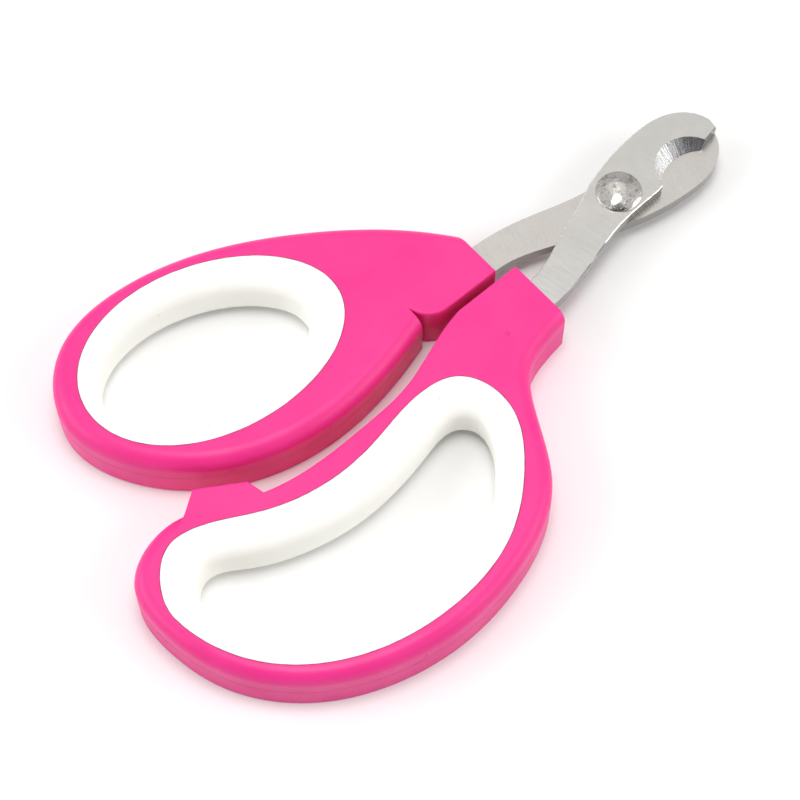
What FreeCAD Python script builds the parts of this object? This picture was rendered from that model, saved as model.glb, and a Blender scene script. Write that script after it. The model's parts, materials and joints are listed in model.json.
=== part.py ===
import FreeCAD, Part

import math
import os

import Sketcher
from FreeCAD import Vector

# Small scissor-type nail clipper, in millimetres.
# The pivot axis is vertical, +X points to the jaw tips and +Y is the thumb handle's side.
# The clipper lies flat, so the undersides of both handles are the lowest faces.
# Everything is drawn about the pivot axis and moved to the centre of its box at the end.

doc = FreeCAD.newDocument("nail_clipper")

# ---------------------------------------------------------------- sizes
SIZES = {
    "handle_thickness": 9.0,        # both handles, top face to underside
    "thumb_round": 2.5,             # round-over along the top outside of the loops
    "finger_round": 2.2,
    "edge_break": 0.35,             # small round on the necks, the rail and the undersides
    "thumb_seat_start": 46.1,       # pivot to the near end of the hole that holds the thumb liner
    "thumb_seat_side": 4.9,         # pivot line to the near side of that hole
    "thumb_seat_length": 43.6,
    "thumb_seat_width": 29.8,
    "thumb_tilt": 13.0,             # degrees, the egg leans away from the pivot
    "thumb_rim": 3.3,               # hard plastic around the thumb liner
    "thumb_heel": 2.7,              # extra plastic on the side that faces the other handle
    "finger_seat_start": 39.8,      # the same for the finger liner
    "finger_seat_side": 1.9,
    "finger_seat_length": 60.4,
    "finger_seat_width": 34.8,
    "finger_rim": 3.0,
    "thumb_liner_wall": 4.4,        # soft ring, mean width seen from above
    "finger_liner_wall": 4.9,
    "liner_round": 2.8,             # round of the soft rings towards the opening
    "tongue_depth": 0.8,            # ridge around a liner that locks in its handle
    "tongue_height": 2.0,
    "thumb_neck_reach": 25.8,       # pivot to the end face of the thumb handle
    "finger_neck_reach": 22.9,      # and of the finger handle
    "thumb_neck_width": 9.6,
    "finger_neck_width": 11.8,
    "thumb_neck_side": 1.2,         # pivot line to the near side of each neck
    "finger_neck_side": 0.2,
    "stop_pad_length": 9.6,         # pad on the finger handle that stops the closing
    "stop_pad_height": 7.3,
    "blade_thickness": 2.0,
    "blade_gap": 0.05,              # running clearance between the blades
    "jaw_reach": 21.0,              # pivot to the tip
    "jaw_width": 10.6,              # widest part of a jaw, over the cutting line
    "notch_reach": 12.2,            # pivot to the middle of the crescent notch
    "notch_edge_radius": 7.3,       # cutting edge of the notch
    "notch_edge_rise": 2.4,         # how far the cutting edge bites into the jaw
    "notch_face_radius": 5.9,       # where the ground bevel runs out on the flat
    "notch_bevel": 2.3,             # width of the bevel seen from above
    "tang_width": 5.8,
    "tang_side": 8.6,               # pivot line to the far side of the tang at the neck
    "tang_drop": 1.6,               # how far the tang runs outwards inside the neck
    "tang_length": 12.0,            # part of the blade inside the handle
    "blade_break": 0.15,            # polished bevel along the blade edges
    "rivet_diameter": 4.0,
    "rivet_running_fit": 0.05,      # radial, between the rivet and the front blade
    "rivet_head_diameter": 7.6,
    "rivet_head_height": 1.4,
    "rivet_head_rim": 0.3,          # straight side of the head under its dome
    "rivet_tail_diameter": 5.4,
    "rivet_tail_height": 0.9,
    "washer_diameter": 7.6,
    "washer_thickness": 0.4,
    "washer_chamfer": 0.1,
}

sheet = doc.addObject("Spreadsheet::Sheet", "sizes")
for row, (alias, value) in enumerate(SIZES.items(), start=1):
    sheet.set("A%d" % row, alias)
    sheet.set("B%d" % row, str(value))
    sheet.setAlias("B%d" % row, alias)
doc.recompute()


def size(alias):
    return float(sheet.get(alias))


def cells(formula):
    """Puts the sheet's name before each size named in a formula."""
    return " ".join("sizes." + word if word in SIZES else word for word in formula.split())


# Heights that several pieces share, as formulas of the sheet.
MIDDLE = "handle_thickness / 2"
FRONT_UNDERSIDE = MIDDLE + " + blade_gap / 2"
FRONT_TOP = FRONT_UNDERSIDE + " + blade_thickness"
REAR_TOP = MIDDLE + " - blade_gap / 2"
REAR_UNDERSIDE = REAR_TOP + " - blade_thickness"
WASHER_UNDERSIDE = REAR_UNDERSIDE + " - washer_thickness"


# ---------------------------------------------------------------- curves
LOOP_POINTS = 20


def smooth(points, closed=False):
    curve = Part.BSplineCurve()
    curve.interpolate(Points=[Vector(x, y, 0) for x, y in points], PeriodicFlag=closed)
    return curve


def line(start, end):
    return Part.LineSegment(Vector(*start, 0), Vector(*end, 0))


def arc(start, middle, end):
    return Part.Arc(Vector(*start, 0), Vector(*middle, 0), Vector(*end, 0))


def polyline(points):
    return [line(start, end) for start, end in zip(points, points[1:])]


def beside(curve, distance, shift=(0.0, 0.0)):
    """A closed curve parallel to another one, outwards where distance is above zero."""
    first, last = curve.FirstParameter, curve.LastParameter
    points = []
    for index in range(LOOP_POINTS):
        parameter = first + (last - first) * index / LOOP_POINTS
        place = curve.value(parameter)
        ahead = curve.tangent(parameter)[0]
        points.append((place.x + distance * ahead.y + shift[0],
                       place.y - distance * ahead.x + shift[1]))
    return smooth(points, closed=True)


# ---------------------------------------------------------------- the loops
THUMB_TAPER = -0.06
# The kidney of the finger loop, as shares of its half length and half width.
KIDNEY = ((-1.0, 0.42), (-0.95, 0.05), (-0.83, -0.32), (-0.5, -0.78), (0.05, -1.0), (0.5, -0.85),
          (0.83, -0.41), (0.98, 0.0), (0.99, 0.33), (0.9, 0.6), (0.72, 0.69), (0.33, 0.59),
          (0.0, 0.57), (-0.33, 0.73), (-0.6, 0.96), (-0.78, 1.0), (-0.93, 0.8))
# Outer sides of the necks, as steps back from the end face and out from its far corner.
THUMB_NECK = ((0.0, 0.0), (4.7, 5.5))
FINGER_NECK = ((0.0, 0.0), (4.3, -0.7), (9.3, -2.4))
# The curl that ends the sharp side of the thumb neck, as steps from the nose of the loop.
CURL = ((4.0, 0.0), (1.5, 1.0), (0.1, 3.2))
# The stop pad, as shares of its length and height from the end of the rail.
STOP_PAD = ((0.0, 0.0), (-0.07, 0.4), (-0.8, 1.0), (-1.17, 0.66))
# Outsides of the handles, as shares of the loop with its rim.
THUMB_RIM = ((1.0, 0.37), (0.46, 0.79), (-0.15, 1.01), (-0.74, 0.85), (-1.0, 0.29), (-0.86, -0.33),
             (-0.35, -0.86), (0.31, -1.03), (0.71, -0.98), (1.09, -0.86))
FINGER_RIM = ((0.99, -0.06), (0.77, -0.63), (0.42, -0.92), (0.03, -1.0), (-0.34, -0.89), (-0.66, -0.61),
              (-0.89, -0.16), (-0.98, 0.36), (-0.94, 0.8), (-0.72, 1.0), (-0.5, 0.94))
FINGER_RAIL = ((0.89, 0.86), (0.6, 0.7), (0.36, 0.66), (0.15, 0.65), (-0.06, 0.67), (-0.23, 0.73))


def loop_middle(finger):
    """Middle of a loop's seat and its half sizes; the seat starts at a fixed place by the neck."""
    half_length = size(finger + "_seat_length") / 2
    half_width = size(finger + "_seat_width") / 2
    return (-size(finger + "_seat_start") - half_length, size(finger + "_seat_side") + half_width,
            half_length, half_width)


def thumb_egg():
    """The egg of the thumb loop: an ellipse that is slightly narrower at one end."""
    lean = math.radians(size("thumb_tilt"))
    middle_x, middle_y, half_length, half_width = loop_middle("thumb")
    points = []
    for index in range(LOOP_POINTS):
        turn = 2 * math.pi * index / LOOP_POINTS
        along = half_length * math.cos(turn)
        across = half_width * math.sin(turn) * (1 + THUMB_TAPER * math.cos(turn))
        points.append((along * math.cos(lean) + across * math.sin(lean) + middle_x,
                       across * math.cos(lean) - along * math.sin(lean) + middle_y))
    return smooth(points, closed=True)


def thumb_point(along, across):
    """A point of the thumb handle's outside, as shares of its half length and half width."""
    middle_x, middle_y, half_length, half_width = loop_middle("thumb")
    heel = size("thumb_heel") if across < 0 else 0.0
    return (along * (half_length + size("thumb_rim")) + middle_x,
            across * (half_width + size("thumb_rim") + heel) + middle_y)


def finger_point(along, across, grow=0.0):
    """A point of the finger loop, as shares of the half sizes of its seat with a rim around it."""
    middle_x, middle_y, half_length, half_width = loop_middle("finger")
    return along * (half_length + grow) + middle_x, across * (half_width + grow) - middle_y


def finger_kidney():
    return smooth([finger_point(*share) for share in KIDNEY], closed=True)


# ---------------------------------------------------------------- bodies
def new_body(name):
    body = doc.addObject("PartDesign::Body", name)
    body.Label = name
    return body


def sketch(body, name, curves, height, role="XY_Plane"):
    plane = next(item for item in body.Origin.OriginFeatures if item.Role == role)
    drawing = body.newObject("Sketcher::SketchObject", name)
    drawing.AttachmentSupport = [(plane, "")]
    drawing.MapMode = "FlatFace"
    drawing.setExpression("AttachmentOffset.Base.z", cells(height))
    for curve in curves:
        drawing.addGeometry(curve, False)
    return drawing


def round_hole(body, name, height, radius):
    """A circle about the pivot whose radius follows the sheet."""
    drawing = sketch(body, name, [Part.Circle(Vector(0, 0, 0), Vector(0, 0, 1), 1.0)], height)
    drawing.addConstraint(Sketcher.Constraint("Coincident", 0, 3, -1, 1))
    drawing.addConstraint(Sketcher.Constraint("Radius", 0, 1.0))
    drawing.setExpression("Constraints[1]", cells(radius))
    return drawing


def pad(body, drawing, length):
    feature = body.newObject("PartDesign::Pad", drawing.Name + "_pad")
    feature.Profile = drawing
    feature.setExpression("Length", cells(length))
    doc.recompute()
    return feature


def pocket(body, drawing, length):
    """Cuts upwards from the sketch and checks that something was cut."""
    before = body.Tip.Shape.Volume
    feature = body.newObject("PartDesign::Pocket", drawing.Name + "_cut")
    feature.Profile = drawing
    feature.Reversed = True
    feature.setExpression("Length", cells(length))
    doc.recompute()
    if feature.Shape.Volume > before - 0.01:
        raise RuntimeError(feature.Name + " cuts nothing")
    return feature


def dress(body, kind, wanted, amount):
    """Fillet or chamfer along the edges of the tip that a test picks."""
    base = body.Tip
    edges = ["Edge%d" % (index + 1) for index, edge in enumerate(base.Shape.Edges) if wanted(edge)]
    feature = body.newObject("PartDesign::" + kind, base.Name + "_" + kind.lower())
    feature.Base = (base, edges)
    feature.setExpression("Radius" if kind == "Fillet" else "Size", cells(amount))
    doc.recompute()
    return feature


def level(edge, *heights):
    """True for an edge that lies flat at one of the heights."""
    box = edge.BoundBox
    return box.ZLength < 1e-6 and any(abs(box.ZMin - height) < 1e-6 for height in heights)


def break_edges(body, left_sharp):
    """Small rounds on the sharp top and bottom edges of a handle, apart from what a test leaves."""
    shape = body.Tip.Shape

    def sharp(edge):
        if left_sharp(edge) or not level(edge, 0.0, size("handle_thickness")):
            return False
        point = edge.valueAt((edge.FirstParameter + edge.LastParameter) / 2)
        sides = [face for face in shape.Faces if any(edge.isSame(other) for other in face.Edges)]
        return any(abs(face.normalAt(*face.Surface.parameter(point)).z) < 0.1 for face in sides)

    dress(body, "Fillet", sharp, "edge_break")


# ---------------------------------------------------------------- blades
# The front blade: its jaw's back is at +Y and its tang leaves at -Y. The rear one mirrors it.
TIP_CORNER = (0.3, -1.4)            # back from the tip, and across
HEEL_CORNER = (5.2, -4.0)           # the foot of the cutting line
CUTTING_LINE = -3.0                 # the cutting line at the middle of the notch
# Both sides of the arm behind the pivot; points that the neck covers are left out.
BELLY = ((0.0, -4.2), (-4.0, -4.6), (-10.0, -6.1), (-16.0, -7.7), (-21.0, -8.5))
INNER = ((-20.0, -2.5), (-14.0, -0.4), (-8.0, 1.9), (-2.5, 4.3))
MOUTH_GAP = 1.5                     # least distance from such a point to the neck


def blade_outline(side):
    """Closed outline; side is 1 for the front blade and -1 for the rear one."""
    reach, width = size("jaw_reach"), size("jaw_width")
    low = TIP_CORNER[1] - 2.6
    shoulder = low + 0.92 * width
    back = [INNER[-1], (3.0, shoulder), (10.0, low + width), (16.5, shoulder), (reach - 1.0, 3.0),
            (reach, 0.6)]
    tip = (reach - TIP_CORNER[0], TIP_CORNER[1])
    mouth = -size("thumb_neck_reach" if side < 0 else "finger_neck_reach")
    tang_end = mouth - size("tang_length")
    tang_low = -size("tang_side")
    tang_high = tang_low + size("tang_width")
    drop = size("tang_drop")
    bare = mouth + MOUTH_GAP
    belly = [HEEL_CORNER] + [point for point in BELLY if point[0] > bare] + [(mouth, tang_low)]
    inner = [(mouth, tang_high)] + [point for point in INNER if point[0] > bare]
    curves = [smooth(flip(back, side)), line(*flip([back[-1], tip], side)),
              line(*flip([tip, HEEL_CORNER], side)), smooth(flip(belly, side))]
    end_low, end_high = (tang_end, tang_low - drop), (tang_end, tang_high - drop)
    curves += polyline(flip([belly[-1], end_low, end_high, inner[0]], side))
    curves.append(smooth(flip(inner, side)))
    return curves


def flip(points, side):
    return [(x, side * y) for x, y in points]


def near_notch(edge, reach, middle):
    """True for the edge where the ground bevel runs out on the flat of the blade."""
    point = edge.valueAt((edge.FirstParameter + edge.LastParameter) / 2)
    away = math.hypot(point.x - reach, point.y - middle)
    return abs(away - size("notch_face_radius")) < 0.05


def blade(name, side, underside, flat_side, ground_side):
    body = new_body(name)
    outline = sketch(body, name + "_outline", blade_outline(side), underside)
    pad(body, outline, "blade_thickness")
    reach = size("notch_reach")
    edge_top = CUTTING_LINE + size("notch_edge_rise")
    edge_y = side * (edge_top - size("notch_edge_radius"))
    face_y = side * (edge_top + size("notch_bevel") - size("notch_face_radius"))
    up = Vector(0, 0, 1)
    edge_circle = Part.Circle(Vector(reach, edge_y, 0), up, size("notch_edge_radius"))
    face_circle = Part.Circle(Vector(reach, face_y, 0), up, size("notch_face_radius"))
    cutting = sketch(body, name + "_cutting_edge", [edge_circle], flat_side)
    ground = sketch(body, name + "_bevel", [face_circle], ground_side)
    before = body.Tip.Shape.Volume
    notch = body.newObject("PartDesign::SubtractiveLoft", name + "_notch")
    notch.Profile = cutting
    notch.Sections = [ground]
    doc.recompute()
    if notch.Shape.Volume > before - 0.01:
        raise RuntimeError(notch.Name + " cuts nothing")
    outer = size("handle_thickness") / 2 + side * (size("blade_gap") / 2 + size("blade_thickness"))
    dress(body, "Chamfer",
          lambda edge: level(edge, outer) and not near_notch(edge, reach, face_y), "blade_break")
    return body


front_blade = blade("front_blade", 1, FRONT_UNDERSIDE, FRONT_UNDERSIDE, FRONT_TOP)
bore = round_hole(front_blade, "front_bore", FRONT_UNDERSIDE, "rivet_diameter / 2 + rivet_running_fit")
pocket(front_blade, bore, "blade_thickness")
rear_blade = blade("rear_blade", -1, REAR_UNDERSIDE, REAR_TOP, REAR_UNDERSIDE)
bore = round_hole(rear_blade, "rear_bore", REAR_UNDERSIDE, "rivet_diameter / 2")
pocket(rear_blade, bore, "blade_thickness")


# ---------------------------------------------------------------- rivet and washer
def dome(rim, foot, top):
    """Arc from the rim to the axis that meets the axis level, as on a button head."""
    rise = top - foot
    radius = (rim * rim + rise * rise) / (2 * abs(rise))
    reach = math.asin(rim / radius)
    if rise > 0:
        middle, first, last = top - radius, math.pi / 2 - reach, math.pi / 2
    else:
        middle, first, last = top + radius, -math.pi / 2, reach - math.pi / 2
    circle = Part.Circle(Vector(0, middle, 0), Vector(0, 0, 1), radius)
    return Part.ArcOfCircle(circle, first, last)


def pivot_rivet():
    """Turned profile: domed head, shank through both blades, closed tail under the washer."""
    body = new_body("pivot_rivet")
    seat = size("handle_thickness") / 2 + size("blade_gap") / 2 + size("blade_thickness")
    rim = seat + size("rivet_head_rim")
    top = seat + size("rivet_head_height")
    foot = seat - 2 * size("blade_thickness") - size("blade_gap") - size("washer_thickness")
    bottom = foot - size("rivet_tail_height")
    head = size("rivet_head_diameter") / 2
    shank = size("rivet_diameter") / 2
    tail = size("rivet_tail_diameter") / 2
    profile = [dome(head, rim, top)]
    profile += polyline([(0, top), (0, bottom)])
    profile += [dome(tail, foot, bottom)]
    profile += polyline([(tail, foot), (shank, foot), (shank, seat), (head, seat), (head, rim)])
    drawing = sketch(body, "rivet_profile", profile, "0", role="XZ_Plane")
    turned = body.newObject("PartDesign::Revolution", "rivet_turned")
    turned.Profile = drawing
    turned.ReferenceAxis = (drawing, ["V_Axis"])
    turned.Angle = 360
    doc.recompute()
    return body


def rivet_washer():
    body = new_body("rivet_washer")
    pad(body, round_hole(body, "washer_disc", WASHER_UNDERSIDE, "washer_diameter / 2"),
        "washer_thickness")
    bore = round_hole(body, "washer_bore", WASHER_UNDERSIDE, "rivet_diameter / 2")
    pocket(body, bore, "washer_thickness")
    outer = size("washer_diameter") / 2
    dress(body, "Chamfer",
          lambda edge: abs(edge.BoundBox.XMax - outer) < 1e-6 and edge.BoundBox.ZLength < 1e-6,
          "washer_chamfer")
    return body


# ---------------------------------------------------------------- liners
TONGUE_UNDERSIDE = MIDDLE + " - tongue_height / 2"


def grip_liner(name, seat, wall, shift):
    """Soft ring with a full round towards the opening and a locking ridge outside."""
    body = new_body(name)
    pad(body, sketch(body, name + "_ring", [seat], "0"), "handle_thickness")
    ridge = beside(seat, size("tongue_depth"))
    pad(body, sketch(body, name + "_ridge", [ridge], TONGUE_UNDERSIDE), "tongue_height")
    opening = beside(seat, -size(wall), shift)
    pocket(body, sketch(body, name + "_opening", [opening], "0"), "handle_thickness")
    span = opening.toShape().BoundBox

    def rims(edge):
        box = edge.BoundBox
        return level(edge, 0.0, size("handle_thickness")) and abs(box.XMax - span.XMax) < 0.05

    dress(body, "Fillet", rims, "liner_round")
    return body


# ---------------------------------------------------------------- handles
def seat_and_slot(body, name, seat, side):
    """Cuts the liner's seat, the groove for its ridge and the slot for the tang."""
    pocket(body, sketch(body, name + "_seat", [seat], "0"), "handle_thickness")
    groove = beside(seat, size("tongue_depth"))
    pocket(body, sketch(body, name + "_groove", [groove], TONGUE_UNDERSIDE), "tongue_height")
    underside = FRONT_UNDERSIDE if side > 0 else REAR_UNDERSIDE
    pocket(body, sketch(body, name + "_slot", blade_outline(side), underside), "blade_thickness")


def outside_edges(edge):
    """The long top rim of a loop; its underside keeps the small edge break."""
    return edge.Length > size("thumb_seat_length") * 2 and level(edge, size("handle_thickness"))


def neck_side(face, far, steps):
    return [(face - back, far + out) for back, out in steps]


def thumb_handle():
    body = new_body("thumb_handle")
    face = -size("thumb_neck_reach")
    near = size("thumb_neck_side")
    far = near + size("thumb_neck_width")
    middle = near + 0.69 * size("thumb_neck_width")
    outside = neck_side(face, far, THUMB_NECK) + [thumb_point(*share) for share in THUMB_RIM]
    nose = outside[-1]
    core = near + 0.6 * size("thumb_neck_width")
    rounded = [smooth(outside)] + polyline([nose, (nose[0] - 0.3, core), (face, core), (face, far)])
    pad(body, sketch(body, "thumb_loop", rounded, "0"), "handle_thickness")
    dress(body, "Fillet", outside_edges, "thumb_round")
    # The neck's near side keeps its edges and curls up to the nose of the rounded loop.
    curl = [(nose[0] + back, near + out) for back, out in CURL]
    plate = polyline([(face, middle), (face, near), curl[0]]) + [arc(*curl)]
    plate += polyline([curl[2], (nose[0] - 1.5, middle), (face, middle)])
    pad(body, sketch(body, "thumb_neck", plate, "0"), "handle_thickness")
    break_edges(body, lambda edge: edge.BoundBox.YMin > curl[-1][1] + 0.001)
    seat_and_slot(body, "thumb", thumb_egg(), -1)
    return body


def finger_handle():
    body = new_body("finger_handle")
    face = -size("finger_neck_reach")
    near = -size("finger_neck_side")
    far = near - size("finger_neck_width")
    core = near - 0.5 * size("finger_neck_width")
    rim = size("finger_rim")
    outside = neck_side(face, far, FINGER_NECK) + [finger_point(*share, rim) for share in FINGER_RIM]
    root = face - size("tang_length")
    rounded = [smooth(outside)] + polyline([outside[-1], finger_point(-0.5, 0.7), finger_point(0.83, 0.3),
                                            (root, core), (face, core), (face, far)])
    pad(body, sketch(body, "finger_loop", rounded, "0"), "handle_thickness")
    dress(body, "Fillet", outside_edges, "finger_round")
    # The rail that faces the thumb loop keeps its edges and carries the stop pad.
    rail = [(root, near - 0.1)] + [finger_point(*share, rim) for share in FINGER_RAIL]
    foot = rail[-1]
    stop = [(foot[0] + along * size("stop_pad_length"), foot[1] + up * size("stop_pad_height"))
            for along, up in STOP_PAD]
    low = near - 0.7 * size("finger_neck_width")
    plate = polyline([(face, low), (face, near), rail[0]]) + [smooth(rail)]
    plate += polyline(stop + [finger_point(-0.84, 0.93), finger_point(-0.7, 0.7),
                              finger_point(0.83, 0.27), (root, low), (face, low)])
    pad(body, sketch(body, "finger_rail", plate, "0"), "handle_thickness")
    pad_end = stop[-1][0]
    break_edges(body, lambda edge: edge.BoundBox.XMin < pad_end + 1.0)
    seat_and_slot(body, "finger", finger_kidney(), 1)
    return body


liner_thumb = grip_liner("thumb_grip_liner", thumb_egg(), "thumb_liner_wall", (-1.5, 0.1))
liner_finger = grip_liner("finger_grip_liner", finger_kidney(), "finger_liner_wall", (0.0, -1.0))
pieces = [thumb_handle(), finger_handle(), liner_thumb, liner_finger, front_blade, rear_blade,
          pivot_rivet(), rivet_washer()]

# ---------------------------------------------------------------- place and write
doc.recompute()
for item in doc.Objects:
    if {"Invalid", "Error"} & set(item.State):
        raise RuntimeError("%s failed: %s" % (item.Name, item.State))
box = FreeCAD.BoundBox()
for piece in pieces:
    if piece.Shape.isNull() or not piece.Shape.isValid():
        raise RuntimeError(piece.Label + " has no valid shape")
    box.add(piece.Shape.optimalBoundingBox(False, False))
shift = Vector(-box.Center.x, -box.Center.y, -box.ZMin)
for piece in pieces:
    piece.Placement = FreeCAD.Placement(shift, FreeCAD.Rotation())
doc.recompute()

os.makedirs("parts", exist_ok=True)
for piece in pieces:
    piece.Shape.exportStep("parts/%s.step" % piece.Label)
    print("%-18s %8.1f mm3  solids %d" % (piece.Label, piece.Shape.Volume, len(piece.Shape.Solids)))
print("pivot at x %.4f y %.4f" % (shift.x, shift.y))
print("overall %.2f x %.2f x %.2f" % (box.XLength, box.YLength, box.ZLength))
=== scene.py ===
import json
import math

import bmesh
import bpy
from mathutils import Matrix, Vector, noise


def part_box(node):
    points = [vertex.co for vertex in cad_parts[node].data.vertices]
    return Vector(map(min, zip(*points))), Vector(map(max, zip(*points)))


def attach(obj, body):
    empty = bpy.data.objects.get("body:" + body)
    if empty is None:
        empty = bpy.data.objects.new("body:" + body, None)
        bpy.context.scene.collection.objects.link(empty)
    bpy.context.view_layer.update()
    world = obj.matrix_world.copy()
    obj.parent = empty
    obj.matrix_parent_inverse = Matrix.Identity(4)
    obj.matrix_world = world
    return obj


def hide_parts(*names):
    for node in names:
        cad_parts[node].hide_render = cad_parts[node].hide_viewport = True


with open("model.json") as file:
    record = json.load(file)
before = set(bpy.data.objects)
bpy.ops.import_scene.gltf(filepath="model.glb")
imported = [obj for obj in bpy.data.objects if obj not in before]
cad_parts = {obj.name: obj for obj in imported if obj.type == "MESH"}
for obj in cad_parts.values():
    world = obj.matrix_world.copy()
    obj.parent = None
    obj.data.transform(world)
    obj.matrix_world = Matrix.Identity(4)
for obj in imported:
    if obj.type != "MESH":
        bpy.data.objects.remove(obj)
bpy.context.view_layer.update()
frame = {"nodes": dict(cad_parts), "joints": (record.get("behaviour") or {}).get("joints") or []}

scene = bpy.context.scene
scene.view_settings.view_transform = "Standard"      # saturated plastic keeps its colour
pivot = Vector(frame["joints"][0]["pos_m"])
mm = 0.001
print("frame loaded")


# ---- camera: a three-quarter look down on the clipper
cameraSet = {"lens": 99.0, "sensor": 36.0, "distance": 0.3454, "elevation": 63.0, "azimuth": -41.0,
             "aim": (-0.0492, -0.00274, 0.0)}        # aimed from the pivot axis


def direction(azimuth, elevation):
    # azimuth 0 looks from -Y, and turns towards +X
    rise = math.radians(elevation)
    turn = math.radians(azimuth)
    return Vector((math.sin(turn) * math.cos(rise), -math.cos(turn) * math.cos(rise), math.sin(rise)))


def makeCamera():
    data = bpy.data.cameras.new("camera")
    data.lens = cameraSet["lens"]
    data.sensor_width = cameraSet["sensor"]
    data.clip_start = 0.01
    camera = bpy.data.objects.new("camera", data)
    scene.collection.objects.link(camera)
    toCamera = direction(cameraSet["azimuth"], cameraSet["elevation"])
    aim = Vector(cameraSet["aim"]) + Vector((pivot.x, pivot.y, 0))
    camera.location = aim + toCamera * cameraSet["distance"]
    camera.rotation_euler = (-toCamera).to_track_quat("-Z", "Y").to_euler()
    scene.camera = camera


makeCamera()
print("camera set")


# ---- small helpers for node trees
def put(tree, kind, inputs=None, **settings):
    # a new node; inputs may be values or sockets to link from
    node = tree.nodes.new(kind)
    for name, value in settings.items():
        setattr(node, name, value)
    for name, value in (inputs or {}).items():
        if isinstance(value, bpy.types.NodeSocket):
            tree.links.new(value, node.inputs[name])
        else:
            node.inputs[name].default_value = value
    return node


def calculate(tree, operation, first, second=0.0, clamp=False):
    node = put(tree, "ShaderNodeMath", {0: first, 1: second}, operation=operation, use_clamp=clamp)
    return node.outputs[0]


def rescale(tree, value, low, high, newLow, newHigh):
    node = put(tree, "ShaderNodeMapRange", {"Value": value, "From Min": low, "From Max": high,
                                            "To Min": newLow, "To Max": newHigh})
    return node.outputs["Result"]


def blendColours(tree, factor, first, second):
    node = put(tree, "ShaderNodeMix", {"Factor": factor}, data_type="RGBA")
    for socket, colour in ((node.inputs[6], first), (node.inputs[7], second)):
        if isinstance(colour, bpy.types.NodeSocket):
            tree.links.new(colour, socket)
        else:
            socket.default_value = (*colour, 1)
    return node.outputs[2]


def setConstants(shader, values):
    for name, value in values.items():
        shader.inputs[name].default_value = value


floatSocket, vectorSocket = "NodeSocketFloat", "NodeSocketVector"
geometrySocket, materialSocket = "NodeSocketGeometry", "NodeSocketMaterial"


def newGroup(name, kind, inputs, output):
    # a node group with its named inputs and one named output
    tree = bpy.data.node_groups.new(name, kind)
    for label, socketType, value in inputs:
        socket = tree.interface.new_socket(label, in_out="INPUT", socket_type=socketType)
        if value is not None:
            socket.default_value = value
    label, socketType = output
    tree.interface.new_socket(label, in_out="OUTPUT", socket_type=socketType)
    return tree, tree.nodes.new("NodeGroupInput"), tree.nodes.new("NodeGroupOutput")


# ---- effects that several finishes share
def makeMottle():
    # soft blotches of one size, from 0 to 1
    tree, given, result = newGroup("mottle", "ShaderNodeTree", [
        ("Vector", vectorSocket, None), ("Size", floatSocket, 0.004), ("Detail", floatSocket, 3.0),
    ], ("Value", floatSocket))
    scale = calculate(tree, "DIVIDE", 1.0, given.outputs["Size"])
    cloud = put(tree, "ShaderNodeTexNoise", {"Vector": given.outputs["Vector"], "Scale": scale,
                                             "Detail": given.outputs["Detail"]})
    tree.links.new(rescale(tree, cloud.outputs["Fac"], 0.3, 0.7, 0.0, 1.0), result.inputs["Value"])
    return tree


def makeStreaks():
    # fine lines along one direction, as brushing or grinding leaves them
    tree, given, result = newGroup("streaks", "ShaderNodeTree", [
        ("Vector", vectorSocket, None), ("Turn", floatSocket, 0.0), ("Width", floatSocket, 0.0001),
        ("Length", floatSocket, 0.003),
    ], ("Value", floatSocket))
    turn = put(tree, "ShaderNodeCombineXYZ", {"Z": given.outputs["Turn"]})
    turned = put(tree, "ShaderNodeVectorRotate", {"Vector": given.outputs["Vector"],
                                                  "Rotation": turn.outputs[0]}, rotation_type="EULER_XYZ")
    across = calculate(tree, "DIVIDE", 1.0, given.outputs["Width"])
    along = calculate(tree, "DIVIDE", 1.0, given.outputs["Length"])
    stretch = put(tree, "ShaderNodeCombineXYZ", {"X": along, "Y": across, "Z": across})
    spread = put(tree, "ShaderNodeVectorMath", {0: turned.outputs[0], 1: stretch.outputs[0]},
                 operation="MULTIPLY")
    lines = put(tree, "ShaderNodeTexNoise", {"Vector": spread.outputs[0], "Scale": 1.0, "Detail": 4.0})
    tree.links.new(rescale(tree, lines.outputs["Fac"], 0.3, 0.7, 0.0, 1.0), result.inputs["Value"])
    return tree


def makeSpecks():
    # rare dark points, such as dust pressed into a soft skin
    tree, given, result = newGroup("specks", "ShaderNodeTree", [
        ("Vector", vectorSocket, None), ("Spacing", floatSocket, 0.006), ("Radius", floatSocket, 0.0001),
    ], ("Mask", floatSocket))
    scale = calculate(tree, "DIVIDE", 1.0, given.outputs["Spacing"])
    cells = put(tree, "ShaderNodeTexVoronoi", {"Vector": given.outputs["Vector"], "Scale": scale})
    reach = calculate(tree, "MULTIPLY", given.outputs["Radius"], scale)
    gap = calculate(tree, "DIVIDE", cells.outputs["Distance"], reach)
    tree.links.new(rescale(tree, gap, 0.6, 1.2, 1.0, 0.0), result.inputs["Mask"])
    return tree


mottle, streaks, specks = makeMottle(), makeStreaks(), makeSpecks()


def useGroup(tree, group, inputs):
    return put(tree, "ShaderNodeGroup", inputs, node_tree=group).outputs[0]


def startMaterial(name):
    # the material, its tree, its shader and the coordinates that patterns read
    material = bpy.data.materials.new(name)
    material.use_nodes = True
    tree = material.node_tree
    place = put(tree, "ShaderNodeTexCoord").outputs["Object"]
    return material, tree, tree.nodes["Principled BSDF"], place


def softEdges(tree, radius):
    # a normal that rounds the moulded edges, and a mask of where they are
    soft = put(tree, "ShaderNodeBevel", {"Radius": radius}, samples=4).outputs["Normal"]
    flat = put(tree, "ShaderNodeNewGeometry").outputs["Normal"]
    match = put(tree, "ShaderNodeVectorMath", {0: soft, 1: flat}, operation="DOT_PRODUCT")
    return soft, rescale(tree, match.outputs["Value"], 0.995, 0.85, 0.0, 1.0)


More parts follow.
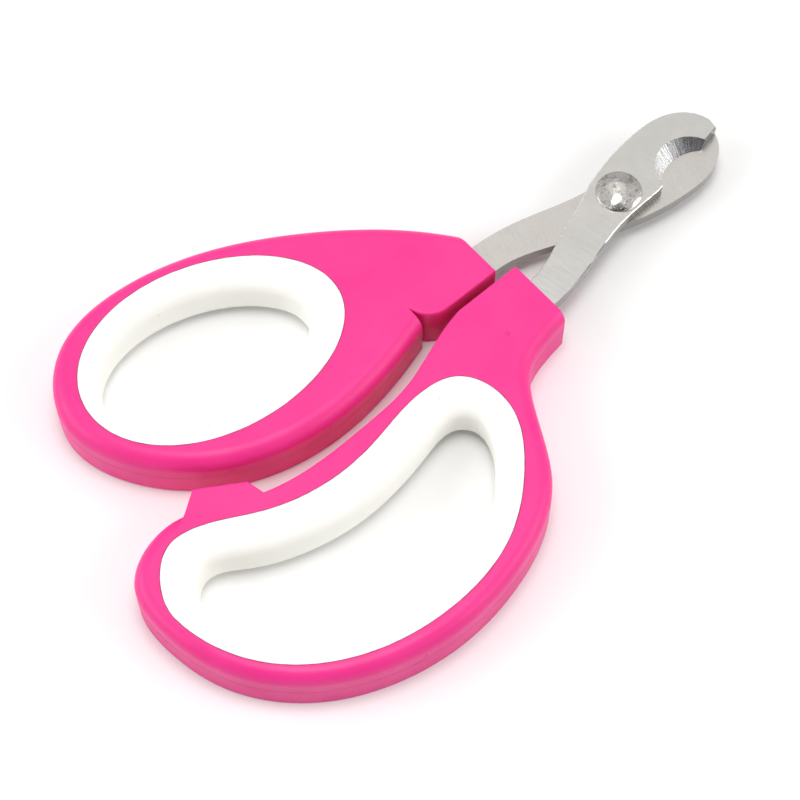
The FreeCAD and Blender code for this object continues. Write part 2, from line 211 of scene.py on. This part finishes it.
def layBump(tree, shader, layers, normal=None):
    # bump layers one over another, each a height and how deep it reaches
    for height, depth in layers:
        inputs = {"Height": height, "Distance": depth}
        if normal is not None:
            inputs["Normal"] = normal
        normal = put(tree, "ShaderNodeBump", inputs).outputs[0]
    tree.links.new(normal, shader.inputs["Normal"])


# ---- finishes
# the lighter pink for the rounded edges is a painted highlight
plastic = {"colour": (0.84, 0.043, 0.270), "deep": (0.79, 0.03, 0.245), "paintedEdgeHighlight": (0.92, 0.12, 0.40),
           "roughness": 0.37, "blotch": 0.009, "grain": 0.00022, "grainDepth": 0.000004, "waves": 0.014,
           "waveDepth": 0.00004, "rubTurn": 0.7, "rubWidth": 0.00012, "rubLength": 0.009,
           "paintedEdgeHighlightShare": 0.35, "wornGloss": 0.08, "rubGloss": -0.07, "roundness": 0.0003}


def handlePlastic():
    material, tree, shader, place = startMaterial("satinPinkPlastic")
    soft, edge = softEdges(tree, plastic["roundness"])
    blotch = useGroup(tree, mottle, {"Vector": place, "Size": plastic["blotch"], "Detail": 4.0})
    grain = useGroup(tree, mottle, {"Vector": place, "Size": plastic["grain"], "Detail": 2.0})
    waves = useGroup(tree, mottle, {"Vector": place, "Size": plastic["waves"], "Detail": 1.0})
    rubs = useGroup(tree, streaks, {"Vector": place, "Turn": plastic["rubTurn"],
                                    "Width": plastic["rubWidth"], "Length": plastic["rubLength"]})
    colour = blendColours(tree, blotch, plastic["colour"], plastic["deep"])
    # painted highlight: the rounded edges are lightened towards a paler pink
    paintedEdgeHighlight = calculate(tree, "MULTIPLY", edge, plastic["paintedEdgeHighlightShare"])
    colour = blendColours(tree, paintedEdgeHighlight, colour, plastic["paintedEdgeHighlight"])
    tree.links.new(colour, shader.inputs["Base Color"])
    rough = rescale(tree, blotch, 0.0, 1.0, plastic["roughness"] - 0.04, plastic["roughness"] + 0.05)
    rough = calculate(tree, "ADD", rough, rescale(tree, rubs, 0.78, 0.95, 0.0, plastic["rubGloss"]))
    gloss = calculate(tree, "MULTIPLY", edge, plastic["wornGloss"])
    tree.links.new(calculate(tree, "SUBTRACT", rough, gloss), shader.inputs["Roughness"])
    layBump(tree, shader, [(waves, plastic["waveDepth"]), (grain, plastic["grainDepth"])], soft)
    setConstants(shader, {"Specular IOR Level": 0.27, "Subsurface Weight": 0.18,
                          "Subsurface Radius": (1.0, 0.25, 0.35), "Subsurface Scale": 0.0012})
    return material


rubber = {"colour": (0.94, 0.935, 0.89), "cream": (0.92, 0.885, 0.83), "speck": (0.30, 0.24, 0.20),
          "cloud": 0.012, "cloudShare": 0.55, "edgeShare": 0.25, "speckShare": 0.7,
          "speckSpacing": 0.0034, "speckRadius": 0.00014, "roughness": 0.56, "skin": 0.0003,
          "skinDepth": 0.000006, "dents": 0.005, "dentDepth": 0.00003, "roundness": 0.00025}


def linerRubber():
    material, tree, shader, place = startMaterial("whiteLinerRubber")
    soft, edge = softEdges(tree, rubber["roundness"])
    cloud = useGroup(tree, mottle, {"Vector": place, "Size": rubber["cloud"], "Detail": 3.0})
    skin = useGroup(tree, mottle, {"Vector": place, "Size": rubber["skin"], "Detail": 3.0})
    dents = useGroup(tree, mottle, {"Vector": place, "Size": rubber["dents"], "Detail": 1.0})
    dust = useGroup(tree, specks, {"Vector": place, "Spacing": rubber["speckSpacing"],
                                   "Radius": rubber["speckRadius"]})
    colour = rubber["colour"]
    for mask, share, tint in ((cloud, "cloudShare", "cream"), (edge, "edgeShare", "cream"),
                              (dust, "speckShare", "speck")):
        colour = blendColours(tree, calculate(tree, "MULTIPLY", mask, rubber[share]), colour, rubber[tint])
    tree.links.new(colour, shader.inputs["Base Color"])
    rough = rescale(tree, skin, 0.0, 1.0, rubber["roughness"] - 0.05, rubber["roughness"] + 0.06)
    tree.links.new(rough, shader.inputs["Roughness"])
    layBump(tree, shader, [(dents, rubber["dentDepth"]), (skin, rubber["skinDepth"])], soft)
    setConstants(shader, {"Specular IOR Level": 0.4, "Subsurface Weight": 0.12,
                          "Subsurface Radius": (1.0, 0.9, 0.7), "Subsurface Scale": 0.0015})
    return material


# the notch bevel's ground colour is a painted highlight and dark a painted shade; edge is a painted dark
# reflection on the thin walls
steel = {"bright": (0.62, 0.61, 0.59), "dull": (0.575, 0.565, 0.545), "ground": (0.92, 0.92, 0.91),
         "dark": (0.16, 0.16, 0.17), "edge": (0.20, 0.185, 0.17), "stain": (0.60, 0.50, 0.45),
         "roughness": 0.27, "edgeRoughness": 0.10, "brushWidth": 0.00013, "brushLength": 0.006,
         "brushDepth": 0.000012, "haze": 0.0035, "pits": 0.00012, "pitDepth": 0.0000012,
         "fanLines": 34.0, "fanSlant": 60.0, "groundDepth": 0.00004, "groundShare": 0.6,
         "stainShare": 0.55, "edgeShare": 0.75}


def bladeSteel(name, brushTurn, brushing, notchMiddle):
    # flats are brushed, the notch's bevel is ground across and carries a painted highlight and painted
    # shade, and the thin edges are polished and painted dark as a painted reflection
    material, tree, shader, place = startMaterial(name)
    brush = useGroup(tree, streaks, {"Vector": place, "Turn": brushTurn, "Width": steel["brushWidth"],
                                     "Length": steel["brushLength"]})
    haze = useGroup(tree, mottle, {"Vector": place, "Size": steel["haze"], "Detail": 4.0})
    pits = useGroup(tree, mottle, {"Vector": place, "Size": steel["pits"], "Detail": 2.0})
    # tilt is 1 on the flats and 0 on the walls; the bevel lies between
    facing = put(tree, "ShaderNodeTexCoord").outputs["Normal"]
    tilt = put(tree, "ShaderNodeSeparateXYZ", {0: facing}).outputs[2]
    tilt = calculate(tree, "ABSOLUTE", tilt)
    notFlat = rescale(tree, tilt, 0.97, 0.93, 0.0, 1.0)
    sloped = calculate(tree, "MULTIPLY", notFlat, rescale(tree, tilt, 0.15, 0.3, 0.0, 1.0))
    wall = rescale(tree, tilt, 0.3, 0.15, 0.0, 1.0)
    # grinding marks fan out from the notch's middle
    local = put(tree, "ShaderNodeVectorMath", {0: place, 1: notchMiddle}, operation="SUBTRACT")
    parts = put(tree, "ShaderNodeSeparateXYZ", {0: local.outputs[0]})
    angle = calculate(tree, "ARCTAN2", parts.outputs[1], parts.outputs[0])
    fan = put(tree, "ShaderNodeCombineXYZ", {
        "X": calculate(tree, "MULTIPLY", angle, steel["fanLines"]),
        "Y": calculate(tree, "MULTIPLY", parts.outputs[2], steel["fanSlant"])})
    marks = put(tree, "ShaderNodeTexNoise", {"Vector": fan.outputs[0], "Scale": 1.0, "Detail": 5.0,
                                             "Roughness": 0.7}).outputs["Fac"]
    marks = rescale(tree, marks, 0.42, 0.62, 0.0, 1.0)
    # the ground bevel has a painted highlight at its inner end and painted shade towards the tip
    turned = rescale(tree, angle, 1.1, 2.1, 0.75, -0.35)
    lined = calculate(tree, "MULTIPLY", marks, steel["groundShare"])
    shade = calculate(tree, "ADD", turned, lined, clamp=True)
    amount = calculate(tree, "MULTIPLY", brush, brushing)
    colour = blendColours(tree, haze, steel["bright"], steel["dull"])
    stained = calculate(tree, "MULTIPLY", amount, steel["stainShare"])
    colour = blendColours(tree, stained, colour, steel["stain"])
    paintedBevelShading = blendColours(tree, shade, steel["ground"], steel["dark"])
    colour = blendColours(tree, sloped, colour, paintedBevelShading)
    # painted reflection: the thin walls are darkened towards the dark edge colour
    shaded = calculate(tree, "MULTIPLY", wall, steel["edgeShare"])
    colour = blendColours(tree, shaded, colour, steel["edge"])
    tree.links.new(colour, shader.inputs["Base Color"])
    rough = rescale(tree, brush, 0.0, 1.0, steel["roughness"] - 0.05, steel["roughness"] + 0.08)
    smoothing = rescale(tree, wall, 0.0, 1.0, 0.0, steel["edgeRoughness"] - steel["roughness"])
    rough = calculate(tree, "ADD", rough, smoothing, clamp=True)
    tree.links.new(rough, shader.inputs["Roughness"])
    ground = calculate(tree, "MULTIPLY", marks, sloped)
    layBump(tree, shader, [(amount, steel["brushDepth"]), (ground, steel["groundDepth"]),
                           (pits, steel["pitDepth"])])
    setConstants(shader, {"Metallic": 1.0})
    return material


polish = {"colour": (0.69, 0.665, 0.635), "tarnish": (0.34, 0.32, 0.29), "roughness": 0.09,
          "washerRoughness": 0.22, "hazeRoughness": 0.12, "haze": 0.0011, "nickTurn": 0.4,
          "nickWidth": 0.00005, "nickLength": 0.0008, "nickDepth": 0.000012, "dirtShare": 0.75}


def rivetSteel(name, roughness):
    material, tree, shader, place = startMaterial(name)
    haze = useGroup(tree, mottle, {"Vector": place, "Size": polish["haze"], "Detail": 5.0})
    nicks = useGroup(tree, streaks, {"Vector": place, "Turn": polish["nickTurn"],
                                     "Width": polish["nickWidth"], "Length": polish["nickLength"]})
    nicks = rescale(tree, nicks, 0.72, 0.95, 0.0, 1.0)
    dirt = rescale(tree, haze, 0.52, 0.9, 0.0, polish["dirtShare"])
    colour = blendColours(tree, dirt, polish["colour"], polish["tarnish"])
    tree.links.new(colour, shader.inputs["Base Color"])
    rough = rescale(tree, haze, 0.2, 1.0, roughness, roughness + polish["hazeRoughness"])
    tree.links.new(rough, shader.inputs["Roughness"])
    layBump(tree, shader, [(nicks, polish["nickDepth"])])
    setConstants(shader, {"Metallic": 1.0})
    return material


shadow = {"colour": (0.55, 0.035, 0.16), "dark": (0.25, 0.02, 0.07), "shadeMottle": 0.0016, "depth": 0.00002}


def seamShade():
    # the thin shadowed joint between plastic and liner
    material, tree, shader, place = startMaterial("seamShade")
    # a mottle makes the painted shade uneven, from deep pink to darker
    shadeMottle = useGroup(tree, mottle, {"Vector": place, "Size": shadow["shadeMottle"], "Detail": 4.0})
    colour = blendColours(tree, shadeMottle, shadow["colour"], shadow["dark"])
    tree.links.new(colour, shader.inputs["Base Color"])
    tree.links.new(rescale(tree, shadeMottle, 0.0, 1.0, 0.55, 0.75), shader.inputs["Roughness"])
    layBump(tree, shader, [(shadeMottle, shadow["depth"])])
    return material


notch = {"ahead": 12.2 * mm, "aside": 5.5 * mm}


def notchCentre(node, side):
    # where the crescent's arcs are centred: ahead of the pivot and across the cutting line
    low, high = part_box(node)
    return Vector((pivot.x + notch["ahead"], pivot.y - side * notch["aside"], (low.z + high.z) / 2))


pink = handlePlastic()
white = linerRubber()
finishes = {
    "thumb_handle": pink, "finger_handle": pink,
    "thumb_grip_liner": white, "finger_grip_liner": white,
    "front_blade": bladeSteel("frontBladeSteel", 1.35, 0.16, notchCentre("front_blade", 1)),
    "rear_blade": bladeSteel("rearBladeSteel", 1.85, 0.7, notchCentre("rear_blade", -1)),
    "rivet_washer": rivetSteel("washerSteel", polish["washerRoughness"]),
}
for nodeName, finish in finishes.items():
    materials = frame["nodes"][nodeName].data.materials
    materials.clear()
    materials.append(finish)
print("finishes assigned to", len(finishes), "CAD nodes")


# ---- outlines read from the CAD solids
def mergedCopy(nodeName):
    mesh = bmesh.new()
    mesh.from_mesh(frame["nodes"][nodeName].data)
    bmesh.ops.remove_doubles(mesh, verts=mesh.verts, dist=1e-6)
    return mesh


def longestLoop(edges):
    # the largest closed walk along a set of edges, as points
    beside = {}
    for edge in edges:
        for vertex in edge.verts:
            beside.setdefault(vertex, []).append(edge.other_vert(vertex))
    left = set(beside)
    best, bestSpan = [], 0.0
    while left:
        # ties in x go to the lowest y, so that every run walks alike
        first = max(left, key=lambda vertex: (vertex.co.x, -vertex.co.y))
        walk, here, before = [first], first, None
        left.discard(first)
        while True:
            onward = [vertex for vertex in beside[here] if vertex is not before and vertex in left]
            if not onward:
                break
            before, here = here, onward[0]
            left.discard(here)
            walk.append(here)
        span = max(vertex.co.x for vertex in walk) - min(vertex.co.x for vertex in walk)
        if span > bestSpan:
            best, bestSpan = [vertex.co.copy() for vertex in walk], span
    return best


def rimOutline(nodeName, height):
    # the sharp outer edge of a liner's flat face
    mesh = mergedCopy(nodeName)
    rim = []
    for edge in mesh.edges:
        if max(abs(vertex.co.z - height) for vertex in edge.verts) > 1e-6 or len(edge.link_faces) != 2:
            continue
        tilts = sorted(abs(face.normal.z) for face in edge.link_faces)
        if tilts[0] < 0.2 and tilts[1] > 0.98:
            rim.append(edge)
    outline = longestLoop(rim)
    mesh.free()
    return outline


def sectionOutline(nodeName, height):
    # the outer contour of a handle at one height
    mesh = mergedCopy(nodeName)
    cut = bmesh.ops.bisect_plane(mesh, geom=mesh.verts[:] + mesh.edges[:] + mesh.faces[:],
                                 plane_co=(0, 0, height), plane_no=(0, 0, 1))
    edges = [item for item in cut["geom_cut"] if isinstance(item, bmesh.types.BMEdge)]
    outline = longestLoop(edges)
    mesh.free()
    return outline


def curveThrough(name, points, closed):
    data = bpy.data.curves.new(name, "CURVE")
    data.dimensions = "3D"
    spline = data.splines.new("POLY")
    spline.points.add(len(points) - 1)
    for place, point in zip(spline.points, points):
        place.co = (*point, 1)
    spline.use_cyclic_u = closed
    curve = bpy.data.objects.new(name, data)
    scene.collection.objects.link(curve)
    return curve


# ---- Geometry Nodes: a bead swept along a path, and marks set at points
def endTree(tree, geometry, given, result):
    realized = put(tree, "GeometryNodeRealizeInstances", {"Geometry": geometry})
    finished = put(tree, "GeometryNodeSetMaterial", {"Geometry": realized.outputs[0],
                                                     "Material": given.outputs["Material"]})
    tree.links.new(finished.outputs[0], result.inputs["Geometry"])


def beadTree():
    # Base is the bead's width as a share of Radius, and Raggedness how far that share swings
    tree, given, result = newGroup("sweptBead", "GeometryNodeTree", [
        ("Geometry", geometrySocket, None), ("Radius", floatSocket, 0.0001), ("Base", floatSocket, 1.0),
        ("Raggedness", floatSocket, 0.2), ("Patch Size", floatSocket, 0.002),
        ("Spacing", floatSocket, 0.0004), ("Material", materialSocket, None),
    ], ("Geometry", geometrySocket))
    path = put(tree, "GeometryNodeResampleCurve", {"Curve": given.outputs["Geometry"],
                                                   "Length": given.outputs["Spacing"]}, mode="LENGTH")
    here = put(tree, "GeometryNodeInputPosition").outputs[0]
    scale = calculate(tree, "DIVIDE", 1.0, given.outputs["Patch Size"])
    cloud = put(tree, "ShaderNodeTexNoise", {"Vector": here, "Scale": scale, "Detail": 3.0})
    uneven = calculate(tree, "SUBTRACT", cloud.outputs["Fac"], 0.5)
    swing = calculate(tree, "MULTIPLY", uneven, given.outputs["Raggedness"])
    share = calculate(tree, "ADD", calculate(tree, "MULTIPLY", swing, 4.0), given.outputs["Base"])
    share = calculate(tree, "MAXIMUM", share, 0.12)
    profile = put(tree, "GeometryNodeCurvePrimitiveCircle", {"Resolution": 8, "Radius": 1.0}, mode="RADIUS")
    width = calculate(tree, "MULTIPLY", share, given.outputs["Radius"])
    swept = put(tree, "GeometryNodeCurveToMesh", {
        "Curve": path.outputs[0], "Profile Curve": profile.outputs[0], "Scale": width,
        "Fill Caps": True})
    smooth = put(tree, "GeometryNodeSetShadeSmooth", {"Geometry": swept.outputs[0]})
    endTree(tree, smooth.outputs[0], given, result)
    return tree


def markTree():
    # low domes of uneven size, each facing the way its point's "facing" attribute says
    tree, given, result = newGroup("mouldMarks", "GeometryNodeTree", [
        ("Geometry", geometrySocket, None), ("Radius", floatSocket, 0.0004), ("Height", floatSocket, 0.4),
        ("Seed", "NodeSocketInt", 4), ("Material", materialSocket, None),
    ], ("Geometry", geometrySocket))
    dome = put(tree, "GeometryNodeMeshIcoSphere", {"Radius": 1.0, "Subdivisions": 3})
    size = put(tree, "FunctionNodeRandomValue", {"Min": 0.7, "Max": 1.3, "Seed": given.outputs["Seed"]},
               data_type="FLOAT")
    spread = calculate(tree, "MULTIPLY", size.outputs[1], given.outputs["Radius"])
    rise = calculate(tree, "MULTIPLY", spread, given.outputs["Height"])
    shape = put(tree, "ShaderNodeCombineXYZ", {"X": spread, "Y": spread, "Z": rise})
    outward = put(tree, "GeometryNodeInputNamedAttribute", {"Name": "facing"}, data_type="FLOAT_VECTOR")
    aim = put(tree, "FunctionNodeAlignRotationToVector", {"Vector": outward.outputs[0]}, axis="Z")
    placed = put(tree, "GeometryNodeInstanceOnPoints", {
        "Points": given.outputs["Geometry"], "Instance": dome.outputs[0],
        "Rotation": aim.outputs[0], "Scale": shape.outputs[0]})
    smooth = put(tree, "GeometryNodeSetShadeSmooth", {"Geometry": placed.outputs[0]})
    endTree(tree, smooth.outputs[0], given, result)
    return tree


bead, marks = beadTree(), markTree()


def grow(source, tree, name, values):
    # runs a tree on an object and returns its result as a plain mesh object
    modifier = source.modifiers.new(tree.name, "NODES")
    modifier.node_group = tree
    for item in tree.interface.items_tree:
        if item.in_out == "INPUT" and item.name in values:
            modifier[item.identifier] = values[item.name]
    bpy.context.view_layer.update()
    evaluated = source.evaluated_get(bpy.context.evaluated_depsgraph_get())
    mesh = bpy.data.meshes.new_from_object(evaluated)
    mesh.name = name
    piece = bpy.data.objects.new(name, mesh)
    scene.collection.objects.link(piece)
    bpy.data.objects.remove(source)
    return piece


# ---- moulding traces: liner seams, flash and parting lines
seamSet = {"radius": 0.085 * mm, "sunk": 0.05 * mm, "base": 1.0, "raggedness": 0.25, "patch": 1.4 * mm}
flashSet = {"radius": 0.11 * mm, "sunk": 0.06 * mm, "base": -0.4, "raggedness": 1.7, "patch": 3.4 * mm,
            "share": 0.2}
partingSet = {"radius": 0.025 * mm, "base": 1.0, "raggedness": 0.35, "patch": 3.0 * mm}
beadSpacing = 0.35 * mm
handles = {"thumb": "thumb_side", "finger": "finger_side"}


def sweep(name, points, closed, values, finish, body):
    settings = {"Radius": values["radius"], "Base": values["base"], "Raggedness": values["raggedness"],
                "Patch Size": values["patch"], "Spacing": beadSpacing, "Material": finish}
    piece = grow(curveThrough(name + "Path", points, closed), bead, name, settings)
    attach(piece, body)


def mouldTraces(finger, body):
    liner = finger + "_grip_liner"
    low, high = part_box(liner)
    for label, height, inward in (("Top", high.z, -1), ("Under", low.z, 1)):
        outline = rimOutline(liner, height)
        depth = seamSet["sunk"] if inward < 0 else seamSet["radius"]
        sunk = [point + Vector((0, 0, inward * depth)) for point in outline]
        sweep(finger + "Seam" + label, sunk, True, seamSet, seamMaterial, body)
        if inward < 0 and finger == "thumb":
            # a few nibs of liner creep over the plastic at the neck end
            limit = high.x - flashSet["share"] * (high.x - low.x)
            start = next(index for index, point in enumerate(outline) if point.x < limit)
            turned = outline[start:] + outline[:start]
            film = [point + Vector((0, 0, -flashSet["sunk"])) for point in turned if point.x > limit]
            sweep(finger + "Flash", film, False, flashSet, white, body)
    handle = finger + "_handle"
    low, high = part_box(handle)
    contour = sectionOutline(handle, (low.z + high.z) / 2)
    sweep(finger + "PartingLine", contour, True, partingSet, pink, body)
    print(finger, "moulding traces made,", len(contour), "points round the handle")


seamMaterial = seamShade()
for finger, body in handles.items():
    mouldTraces(finger, body)


# ---- gate and ejector marks on the handles
markSet = {"radius": 0.30 * mm, "height": 0.22, "seed": 4, "lift": 1.2 * mm}
# where the marks sit, as shares of each handle's box; the last value is the side they face
markSpots = {
    "thumb": [((0.46, 0.0), "near"), ((0.22, 0.0), "near")],
    "finger": [((0.885, 0.735), "top"), ((0.34, 0.0), "near")],
}
# for each side, the way a ray looks for the surface and how far back it starts
rays = {"top": (Vector((0, 0, -1)), 20 * mm), "near": (Vector((0, 1, 0)), 10 * mm)}


def gateMarks(finger, body):
    node = frame["nodes"][finger + "_handle"]
    low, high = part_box(finger + "_handle")
    spots, facing = [], []
    for (along, across), side in markSpots[finger]:
        ray, back = rays[side]
        start = Vector((low.x + along * (high.x - low.x), low.y + across * (high.y - low.y),
                        (low.z + high.z) / 2 + markSet["lift"]))
        hit, place, normal = node.ray_cast(start - ray * back, ray)[:3]
        if hit:
            spots.append(place)
            facing.append(normal)
    mesh = bpy.data.meshes.new(finger + "MarkPoints")
    mesh.from_pydata(spots, [], [])
    outward = mesh.attributes.new("facing", "FLOAT_VECTOR", "POINT")
    outward.data.foreach_set("vector", [value for normal in facing for value in normal])
    source = bpy.data.objects.new(finger + "MarkPoints", mesh)
    scene.collection.objects.link(source)
    settings = {"Radius": markSet["radius"], "Height": markSet["height"], "Seed": markSet["seed"],
                "Material": pink}
    piece = grow(source, marks, finger + "GateMarks", settings)
    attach(piece, body)
    print(finger, "gate marks:", len(spots))


for finger, body in handles.items():
    gateMarks(finger, body)


# ---- pivot rivet: turned, domed and peened
rivetSet = {"rings": 20, "lipRings": 5, "tailRings": 8, "turns": 128, "shank": 2.0 * mm,
            "tail": 2.7 * mm, "side": 0.3 * mm, "lip": 0.09 * mm, "dents": 22, "dentDepth": 0.075 * mm,
            "dentReach": 0.85 * mm, "dentField": 3.3 * mm, "dentMost": 1.6, "goldenTurn": 2.399963,
            "wander": 0.7, "seed": 11}


def rivetProfile():
    # half section from the top of the dome to the bottom of the closed tail
    low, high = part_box("pivot_rivet")
    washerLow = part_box("rivet_washer")[0].z
    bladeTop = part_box("front_blade")[1].z
    head = (high.x - low.x) / 2
    shank, tail, side, lip = (rivetSet[name] for name in ("shank", "tail", "side", "lip"))
    points = []
    rise = high.z - bladeTop - side
    radius = (head * head + rise * rise) / (2 * rise)
    reach = math.asin((head - lip) / radius)
    for index in range(rivetSet["rings"] + 1):
        lean = reach * index / rivetSet["rings"]
        points.append((radius * math.sin(lean), high.z - radius + radius * math.cos(lean)))
    for index in range(1, rivetSet["lipRings"] + 1):
        turn = math.pi / 2 * index / rivetSet["lipRings"]
        points.append((head - lip * (1 - math.sin(turn)),
                       points[rivetSet["rings"]][1] - side * (1 - math.cos(turn))))
    points += [(head, bladeTop), (shank, bladeTop), (shank, washerLow), (tail, washerLow)]
    fall = washerLow - low.z
    radius = (tail * tail + fall * fall) / (2 * fall)
    reach = math.asin(tail / radius)
    for index in range(1, rivetSet["tailRings"] + 1):
        lean = reach * (1 - index / rivetSet["tailRings"])
        points.append((radius * math.sin(lean), low.z + radius - radius * math.cos(lean)))
    return points


def peened(place):
    # how deep shallow hammer dents, set in a spiral, press the dome at a place
    depth = 0.0
    for index in range(rivetSet["dents"]):
        stray = noise.noise(Vector((index * 1.7, rivetSet["seed"], 0.0)))
        turn = rivetSet["goldenTurn"] * index + rivetSet["wander"] * stray
        away = (0.35 + 0.62 * math.sqrt((index + 0.5) / rivetSet["dents"])) * rivetSet["dentField"]
        gap = math.hypot(place.x - away * math.cos(turn), place.y - away * math.sin(turn))
        depth += math.exp(-(gap / rivetSet["dentReach"]) ** 2) * (0.5 + 0.5 * math.sin(index * 4.1))
    return min(depth, rivetSet["dentMost"]) * rivetSet["dentDepth"]


def makeRivet():
    profile = rivetProfile()
    mesh = bmesh.new()
    rings = []
    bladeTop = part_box("front_blade")[1].z
    for radius, height in profile:
        if radius < 1e-7:
            rings.append([mesh.verts.new((0, 0, height))])
            continue
        ring = []
        for step in range(rivetSet["turns"]):
            turn = 2 * math.pi * step / rivetSet["turns"]
            place = Vector((radius * math.cos(turn), radius * math.sin(turn), height))
            if height > bladeTop + 0.1 * mm:
                place.z -= peened(place)
            ring.append(mesh.verts.new(place))
        rings.append(ring)
    count = rivetSet["turns"]
    for upper, lower in zip(rings, rings[1:]):
        for step in range(count):
            after = (step + 1) % count
            if len(upper) == 1:
                mesh.faces.new((upper[0], lower[step], lower[after]))
            elif len(lower) == 1:
                mesh.faces.new((upper[step], lower[0], upper[after]))
            else:
                mesh.faces.new((upper[step], lower[step], lower[after], upper[after]))
    bmesh.ops.recalc_face_normals(mesh, faces=mesh.faces)
    bmesh.ops.translate(mesh, verts=mesh.verts, vec=(pivot.x, pivot.y, 0))
    data = bpy.data.meshes.new("pivotRivet")
    mesh.to_mesh(data)
    mesh.free()
    data.shade_smooth()
    data.materials.append(rivetSteel("polishedRivetSteel", polish["roughness"]))
    rivet = bpy.data.objects.new("pivotRivet", data)
    scene.collection.objects.link(rivet)
    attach(rivet, "thumb_side")
    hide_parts("pivot_rivet")
    print("rivet made with", len(data.polygons), "faces")


makeRivet()


# ---- floor
floorSet = {"half": 1.5, "colour": (0.88, 0.878, 0.872), "below": 0.02 * mm, "cloud": 0.05}


def makeFloor():
    half, level = floorSet["half"], -floorSet["below"]
    mesh = bpy.data.meshes.new("floor")
    mesh.from_pydata([(-half, -half, level), (half, -half, level), (half, half, level),
                      (-half, half, level)], [], [(0, 1, 2, 3)])
    floor = bpy.data.objects.new("floor", mesh)
    scene.collection.objects.link(floor)
    material, tree, shader, place = startMaterial("paleFloor")
    cloud = useGroup(tree, mottle, {"Vector": place, "Size": floorSet["cloud"], "Detail": 2.0})
    tree.links.new(rescale(tree, cloud, 0.0, 1.0, 0.42, 0.5), shader.inputs["Roughness"])
    setConstants(shader, {"Base Color": (*floorSet["colour"], 1), "Specular IOR Level": 0.35})
    mesh.materials.append(material)


makeFloor()


# ---- soft studio light
lightSet = [
    # name, azimuth, elevation, distance, width, height, power
    ("key", 139.0, 89.0, 0.60, 0.26, 0.26, 1.35),
    ("left", -128.0, 30.0, 0.60, 0.60, 0.36, 1.7),
    ("right", 40.0, 30.0, 0.60, 0.60, 0.36, 1.5),
]
# a pale tent: a bright panel high at the back, dim at the sides, and a dark opening at the front
worldSet = {"strength": 1.0, "around": (0.52, 0.52, 0.525)}
tentPanels = [
    # azimuth, elevation, cosines where the panel fades in and is full, colour
    (139.0, 63.0, 0.80, 0.94, (0.97, 0.965, 0.95)),
    (-41.0, 46.0, 0.84, 0.94, (0.012, 0.012, 0.015)),
]


def makeLights():
    aim = Vector((pivot.x + cameraSet["aim"][0], pivot.y + cameraSet["aim"][1], 0))
    for name, azimuth, elevation, distance, width, height, power in lightSet:
        data = bpy.data.lights.new(name, "AREA")
        data.shape = "ELLIPSE"
        data.size, data.size_y, data.energy = width, height, power
        light = bpy.data.objects.new(name, data)
        scene.collection.objects.link(light)
        towards = direction(azimuth, elevation)
        light.location = aim + towards * distance
        light.rotation_euler = (-towards).to_track_quat("-Z", "Y").to_euler()


def makeWorld():
    world = bpy.data.worlds.new("tent")
    scene.world = world
    world.use_nodes = True
    tree = world.node_tree
    background = tree.nodes["Background"]
    view = put(tree, "ShaderNodeTexCoord").outputs["Generated"]
    colour = worldSet["around"]
    for azimuth, elevation, faint, full, tint in tentPanels:
        match = put(tree, "ShaderNodeVectorMath", {0: view, 1: direction(azimuth, elevation)},
                    operation="DOT_PRODUCT")
        share = put(tree, "ShaderNodeMapRange", {"Value": match.outputs["Value"], "From Min": faint,
                                                 "From Max": full}, interpolation_type="SMOOTHSTEP")
        colour = blendColours(tree, share.outputs["Result"], colour, tint)
    tree.links.new(colour, background.inputs["Color"])
    background.inputs["Strength"].default_value = worldSet["strength"]


makeLights()
makeWorld()
print("floor, lights and world ready")

bpy.context.view_layer.update()
